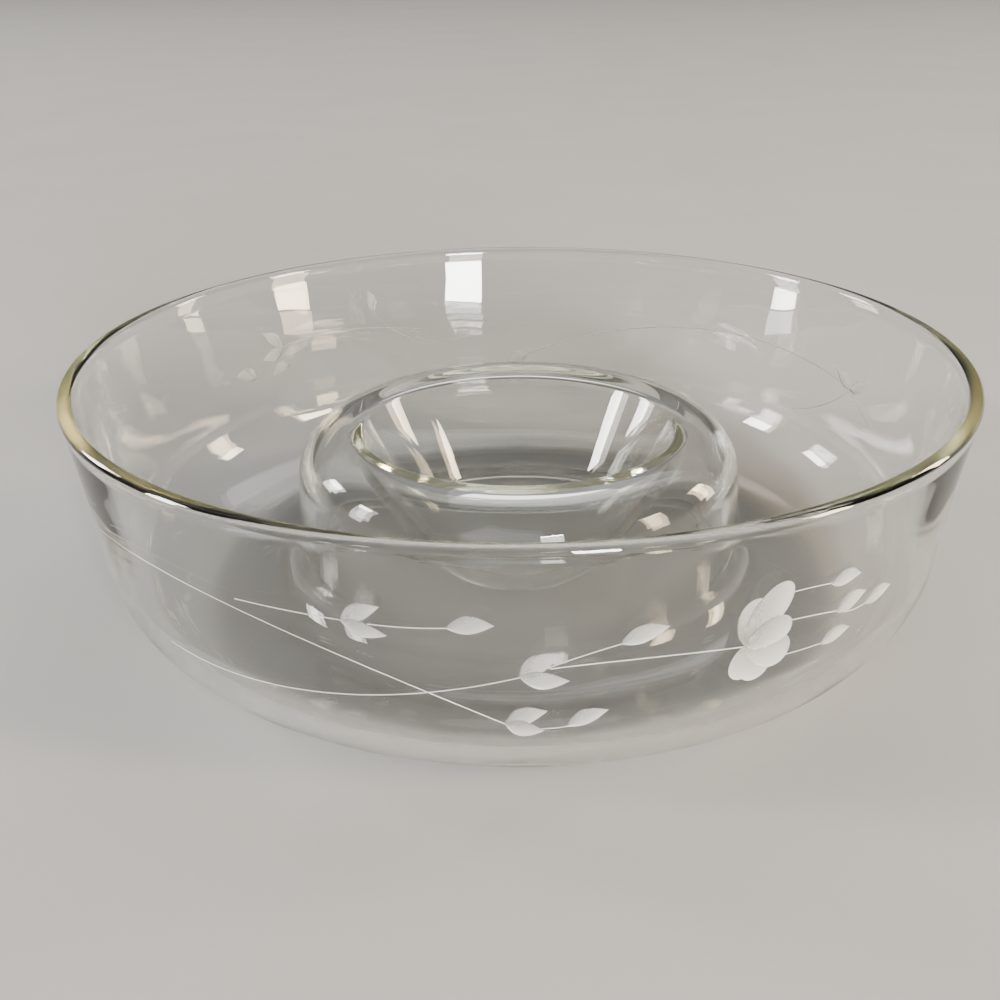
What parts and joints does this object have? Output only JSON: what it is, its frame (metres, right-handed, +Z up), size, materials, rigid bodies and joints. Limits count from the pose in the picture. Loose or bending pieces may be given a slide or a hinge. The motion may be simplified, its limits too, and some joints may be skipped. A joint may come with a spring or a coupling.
{
  "type": "chip and dip server",
  "caption": "Round one-piece clear glass server: a wide bowl with a ring-shaped channel for chips around a raised, hollow centre ring that holds a dip well.",
  "frame": {"origin": "centre of the server, at the height of the surface that its flat underside stands on", "axes": "+Z up along the axis of revolution; the plain shape is the same all round, and -Y is the side whose engraving has the largest flower"},
  "size_m": [0.266, 0.266, 0.076],
  "materials": {
    "clear_glass": "clear, fire-polished, faint straw-green tint, shallow frosted floral engraving on the outer wall"
  },
  "bodies": {
    "root": {"rim": "clear_glass", "side_wall": "clear_glass", "lower_bend": "clear_glass", "chip_floor": "clear_glass", "centre_ring": "clear_glass", "dip_well": "clear_glass"}
  },
  "joints": []
}
